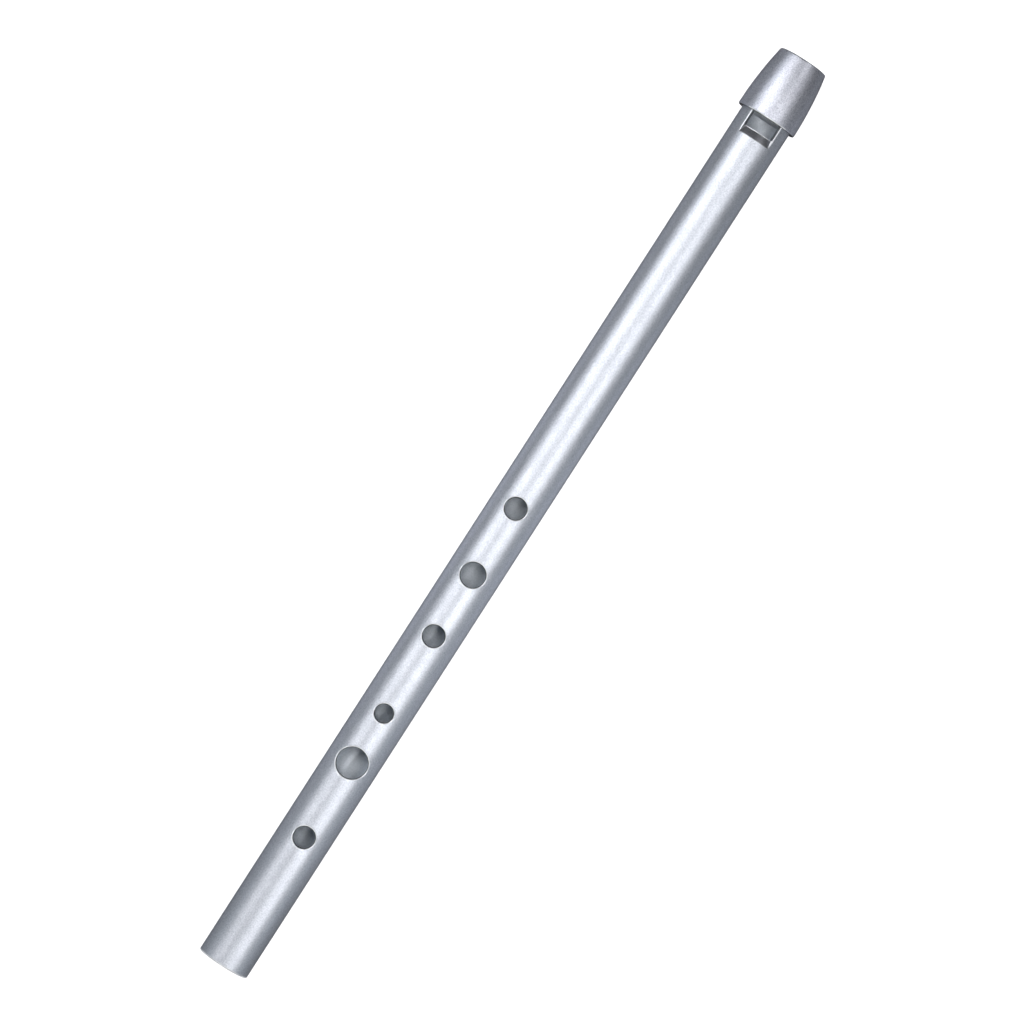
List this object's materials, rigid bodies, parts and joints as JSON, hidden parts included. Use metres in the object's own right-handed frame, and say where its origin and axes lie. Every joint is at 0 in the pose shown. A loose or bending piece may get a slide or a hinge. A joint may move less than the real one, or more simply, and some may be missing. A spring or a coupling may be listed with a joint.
{
  "type": "tin whistle",
  "caption": "End-blown fipple flute: a straight satin aluminium tube with finger holes and a window, a block plugged in its top end and a tapered mouthpiece cap over both.",
  "frame": {"origin": "on the tube's axis, halfway between the foot and the mouth end", "axes": "+X along the tube towards the mouthpiece, +Z out through the finger holes and the window, +Y to the player's right when the whistle is played"},
  "size_m": [0.34, 0.0208, 0.0208],
  "materials": {
    "tube": "fine bead-blasted satin, with brighter turned edges at the holes and the foot",
    "block": "machined, with faint turning marks",
    "cap": "fine bead-blasted satin"
  },
  "bodies": {
    "root": {"body_tube": "tube", "fipple_block": "block", "mouthpiece_cap": "cap"}
  },
  "joints": []
}
